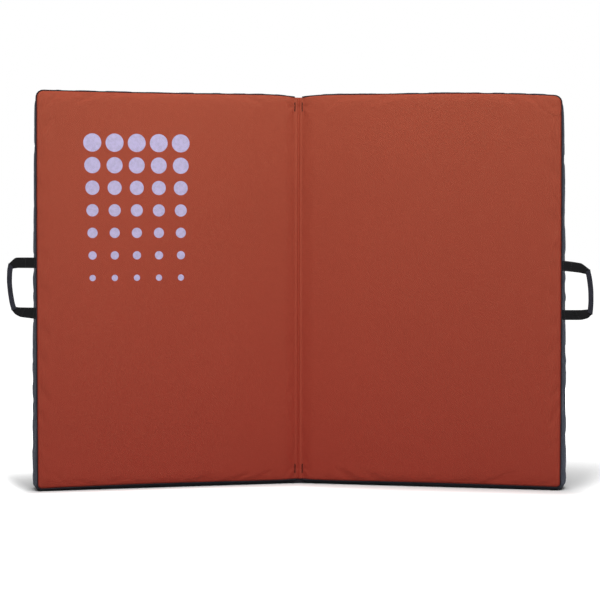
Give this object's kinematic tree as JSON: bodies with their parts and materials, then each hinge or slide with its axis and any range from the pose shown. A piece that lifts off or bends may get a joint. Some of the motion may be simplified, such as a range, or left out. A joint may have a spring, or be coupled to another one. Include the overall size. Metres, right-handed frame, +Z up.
{
  "type": "bouldering crash pad",
  "caption": "Folding foam crash pad, stood open like a book, with carry handles, a zipped foam sleeve, a shoulder harness, a waist belt and hook closures.",
  "frame": {"origin": "middle of the bounding box at the ground, the pad standing on its lower edge and opened like a book", "axes": "+X across the open pad from its left half to its right half as seen from the landing side, +Y from the landing side to the base side, +Z up along the fold"},
  "size_m": [1.3006, 0.2634, 0.8919],
  "materials": {
    "landing_cloth": "rust-red woven cloth, matt",
    "boxing_cloth": "slate grey coarse woven cloth, matt",
    "base_cloth": "dark slate coarse woven cloth, coated, matt",
    "binding_tape": "dark folded edge tape, matt",
    "closed_cell_foam": "closed-cell foam, matt",
    "open_cell_foam": "open-cell foam, matt",
    "black_webbing": "black woven webbing, slight sheen",
    "strap_padding": "slate cloth over thin padding, matt",
    "buckle_plastic": "moulded black plastic, satin",
    "hook_steel": "plain steel, satin",
    "zip_coil": "black nylon coil and tape, matt"
  },
  "bodies": {
    "left_half": {"left_landing_cover": "landing_cloth", "left_impact_foam": "closed_cell_foam", "left_core_foam": "open_cell_foam", "left_boxing": "boxing_cloth", "left_base_cover": "base_cloth", "left_front_binding": "binding_tape", "left_rear_binding": "binding_tape", "left_zip_tape": "zip_coil", "hinge_panel": "landing_cloth", "shoulder_yoke": "base_cloth", "haul_handle": "black_webbing", "inner_adjuster_webbing": "black_webbing", "outer_adjuster_webbing": "black_webbing", "inner_lower_anchor": "base_cloth", "outer_lower_anchor": "base_cloth", "inner_belt_anchor": "base_cloth", "outer_belt_anchor": "base_cloth", "upper_closure_loop": "black_webbing", "lower_closure_loop": "black_webbing"},
    "right_half": {"right_landing_cover": "landing_cloth", "right_impact_foam": "closed_cell_foam", "right_core_foam": "open_cell_foam", "right_boxing": "boxing_cloth", "right_base_cover": "base_cloth", "right_front_binding": "binding_tape", "right_rear_binding": "binding_tape", "right_zip_tape": "zip_coil", "upper_closure_patch": "black_webbing", "lower_closure_patch": "black_webbing"},
    "left_handle": {"left_carry_handle": "black_webbing"},
    "right_handle": {"right_carry_handle": "black_webbing"},
    "left_slider": {"left_zip_slider": "hook_steel"},
    "left_pull": {"left_zip_pull": "hook_steel"},
    "right_slider": {"right_zip_slider": "hook_steel"},
    "right_pull": {"right_zip_pull": "hook_steel"},
    "inner_strap": {"inner_shoulder_strap": "strap_padding", "inner_strap_tab": "black_webbing", "inner_ladder_lock": "buckle_plastic"},
    "outer_strap": {"outer_shoulder_strap": "strap_padding", "outer_strap_tab": "black_webbing", "outer_ladder_lock": "buckle_plastic"},
    "inner_belt_end": {"inner_belt": "black_webbing", "belt_socket": "buckle_plastic"},
    "outer_belt_end": {"outer_belt": "black_webbing", "belt_plug": "buckle_plastic"},
    "upper_closure": {"upper_closure_strap": "black_webbing", "upper_closure_hook": "hook_steel"},
    "lower_closure": {"lower_closure_strap": "black_webbing", "lower_closure_hook": "hook_steel"},
    "upper_keeper": {"upper_strap_keeper": "strap_padding"},
    "lower_keeper": {"lower_strap_keeper": "strap_padding"}
  },
  "joints": [
    {"name": "fold", "type": "hinge", "parent": "left_half", "child": "right_half", "pos_m": [0, 0.03698, 0], "axis": [0, 0, 1], "range_deg": [-150, 30], "deforming": ["hinge_panel"]},
    {"name": "left_handle_swing", "type": "hinge", "parent": "left_half", "child": "left_handle", "pos_m": [-0.58224, -0.11178, 0.449], "axis": [0, 0, 1], "range_deg": [-80, 30]},
    {"name": "right_handle_swing", "type": "hinge", "parent": "right_half", "child": "right_handle", "pos_m": [0.58224, -0.11178, 0.449], "axis": [0, 0, -1], "range_deg": [-80, 30]},
    {"name": "left_zip_slide", "type": "slide", "parent": "left_half", "child": "left_slider", "axis": [0, 0, -1], "range_m": [0, 0.59]},
    {"name": "left_pull_swing", "type": "hinge", "parent": "left_slider", "child": "left_pull", "pos_m": [-0.09442, 0.11889, 0.7234], "axis": [0.9659, 0.2588, 0], "range_deg": [0, 150]},
    {"name": "right_zip_slide", "type": "slide", "parent": "right_half", "child": "right_slider", "axis": [0, 0, -1], "range_m": [0, 0.59]},
    {"name": "right_pull_swing", "type": "hinge", "parent": "right_slider", "child": "right_pull", "pos_m": [0.09442, 0.11889, 0.7234], "axis": [0.9659, -0.2588, 0], "range_deg": [0, 150]},
    {"name": "inner_strap_swing", "type": "hinge", "parent": "left_half", "child": "inner_strap", "pos_m": [-0.25507, 0.06937, 0.6977], "axis": [0.9659, 0.2588, 0], "range_deg": [0, 30], "deforming": ["inner_adjuster_webbing"]},
    {"name": "outer_strap_swing", "type": "hinge", "parent": "left_half", "child": "outer_strap", "pos_m": [-0.37485, 0.03727, 0.6977], "axis": [0.9659, 0.2588, 0], "range_deg": [0, 30], "deforming": ["outer_adjuster_webbing"]},
    {"name": "inner_belt_swing", "type": "hinge", "parent": "left_half", "child": "inner_belt_end", "pos_m": [-0.13598, 0.10014, 0.345], "axis": [0.9659, 0.2588, 0], "range_deg": [0, 110]},
    {"name": "outer_belt_swing", "type": "hinge", "parent": "left_half", "child": "outer_belt_end", "pos_m": [-0.49337, 0.00438, 0.345], "axis": [0.9659, 0.2588, 0], "range_deg": [0, 110]},
    {"name": "upper_closure_unfold", "type": "hinge", "parent": "right_half", "child": "upper_closure", "pos_m": [0.54194, -0.00755, 0.72009], "axis": [0.683, -0.183, -0.7071], "range_deg": [0, 165]},
    {"name": "upper_keeper_slide", "type": "slide", "parent": "upper_closure", "child": "upper_keeper", "axis": [0, 0, -1], "range_m": [0, 0.09]},
    {"name": "lower_closure_unfold", "type": "hinge", "parent": "right_half", "child": "lower_closure", "pos_m": [0.54194, -0.00755, 0.36004], "axis": [0.683, -0.183, -0.7071], "range_deg": [0, 165]},
    {"name": "lower_keeper_slide", "type": "slide", "parent": "lower_closure", "child": "lower_keeper", "axis": [0, 0, -1], "range_m": [0, 0.09]}
  ]
}
